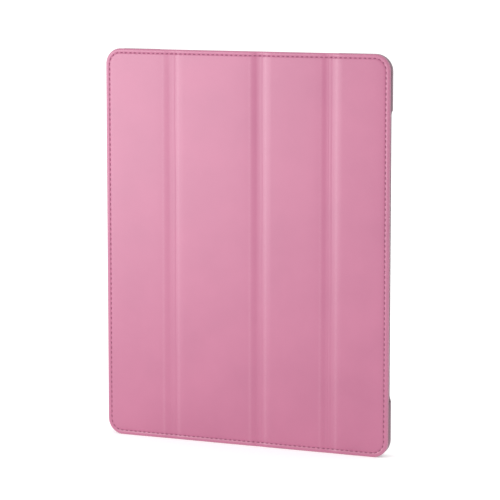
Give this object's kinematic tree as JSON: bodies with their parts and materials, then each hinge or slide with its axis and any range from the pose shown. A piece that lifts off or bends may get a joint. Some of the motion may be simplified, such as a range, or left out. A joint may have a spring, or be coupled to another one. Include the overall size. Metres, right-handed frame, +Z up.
{
  "type": "tablet case",
  "caption": "Slim folding tablet case: a stitched synthetic-leather cover with upright fold channels, hinged by a soft spine and back flap to a clip-on back shell.",
  "frame": {"origin": "middle of the width and the depth, at the bottom edge that the closed case stands on", "axes": "+X along the width from the spine to the cover's free edge, +Y from the front cover to the back shell, +Z up the case's height"},
  "size_m": [0.1914, 0.0156, 0.2446],
  "materials": {
    "cover_skin": "smooth pink polyurethane synthetic leather, satin",
    "thread": "dark rose polyester sewing thread",
    "lining": "brushed microfibre, greyish rose",
    "board": "pressed grey fibreboard",
    "shell_plastic": "frosted translucent polycarbonate, moulded",
    "tape": "double-sided bonding tape",
    "steel": "thin spring-steel strip",
    "magnet": "nickel-plated magnet"
  },
  "bodies": {
    "case_back": {"back_shell": "shell_plastic", "flap_skin": "cover_skin", "flap_tape": "tape", "flap_thread": "thread"},
    "spine": {"spine_skin": "cover_skin", "spine_board": "board", "spine_lining": "lining"},
    "panel_1": {"panel_1_skin": "cover_skin", "panel_1_board": "board", "panel_1_lining": "lining", "panel_1_thread": "thread", "keeper_plate": "steel"},
    "panel_2": {"panel_2_skin": "cover_skin", "panel_2_board": "board", "panel_2_lining": "lining", "panel_2_thread": "thread"},
    "panel_3": {"panel_3_skin": "cover_skin", "panel_3_board": "board", "panel_3_lining": "lining", "panel_3_thread": "thread"},
    "panel_4": {"panel_4_skin": "cover_skin", "panel_4_board": "board", "panel_4_lining": "lining", "panel_4_thread": "thread", "closure_magnets": "magnet", "wake_magnet": "magnet"}
  },
  "joints": [
    {"name": "back_hinge", "type": "hinge", "parent": "case_back", "child": "spine", "pos_m": [-0.09575, 0.00777, 0.1223], "axis": [0, 0, -1], "range_deg": [0, 90]},
    {"name": "front_hinge", "type": "hinge", "parent": "spine", "child": "panel_1", "pos_m": [-0.09575, -0.00777, 0.1223], "axis": [0, 0, -1], "range_deg": [0, 175]},
    {"name": "fold_1", "type": "hinge", "parent": "panel_1", "child": "panel_2", "pos_m": [-0.05008, -0.00808, 0.1223], "axis": [0, 0, -1], "range_deg": [0, 105]},
    {"name": "fold_2", "type": "hinge", "parent": "panel_2", "child": "panel_3", "pos_m": [0.00919, -0.00808, 0.1223], "axis": [0, 0, -1], "range_deg": [0, 132]},
    {"name": "fold_3", "type": "hinge", "parent": "panel_3", "child": "panel_4", "pos_m": [0.0562, -0.00808, 0.1223], "axis": [0, 0, -1], "range_deg": [0, 104]}
  ]
}
